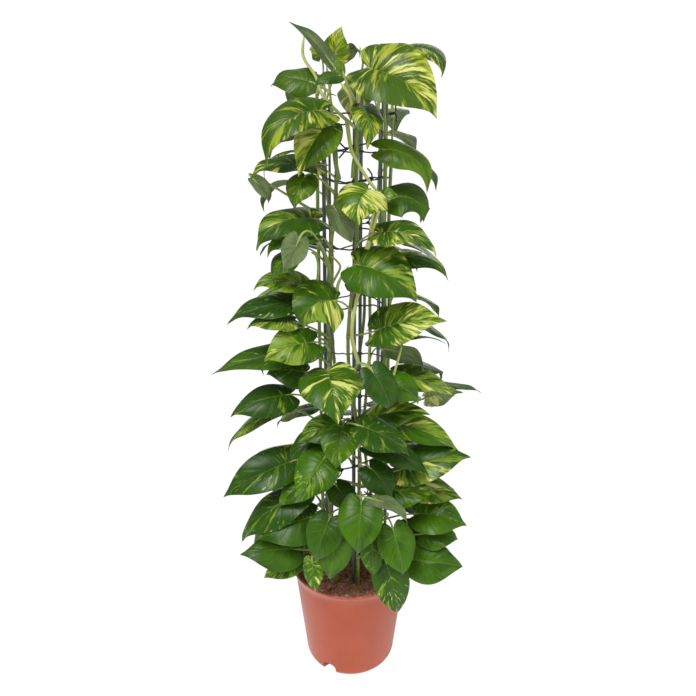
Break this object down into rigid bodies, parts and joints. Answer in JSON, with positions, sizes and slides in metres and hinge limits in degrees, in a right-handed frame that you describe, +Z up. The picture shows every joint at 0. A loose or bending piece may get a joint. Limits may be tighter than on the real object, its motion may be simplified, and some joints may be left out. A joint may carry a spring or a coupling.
{
  "type": "potted pothos",
  "caption": "Tall variegated pothos with heart-shaped leaves, climbing a ring of upright rods tied round with wire, in a tapered plastic grower's pot.",
  "frame": {"origin": "on the pot's upright axis, in the plane that the pot stands on, at the middle of the flat pad under its floor", "axes": "+Z up along the plant, -Y towards the side shown in the picture, +X to the right as seen from there"},
  "size_m": [0.3841, 0.3219, 0.9492],
  "materials": {
    "pot_plastic": "satin terracotta-coloured plastic",
    "potting_soil": "coarse peat and coir, matte",
    "rod_coating": "dark green-grey coating, satin",
    "wire_coating": "black coating, satin",
    "foliage": "glossy living leaf, green with cream and yellow variegation"
  },
  "bodies": {
    "root": {"pot": "pot_plastic", "soil": "potting_soil", "rod_1": "rod_coating", "rod_2": "rod_coating", "rod_3": "rod_coating", "rod_4": "rod_coating", "rod_5": "rod_coating", "rod_6": "rod_coating", "rod_7": "rod_coating", "rod_8": "rod_coating", "wire_1": "wire_coating", "wire_2": "wire_coating", "wire_3": "wire_coating", "wire_4": "wire_coating", "wire_5": "wire_coating", "wire_6": "wire_coating", "wire_7": "wire_coating", "wire_8": "wire_coating", "wire_9": "wire_coating", "wire_10": "wire_coating", "vine_1": "foliage", "vine_2": "foliage", "vine_3": "foliage", "vine_4": "foliage", "vine_5": "foliage", "vine_6": "foliage", "vine_7": "foliage", "vine_8": "foliage"}
  },
  "joints": []
}
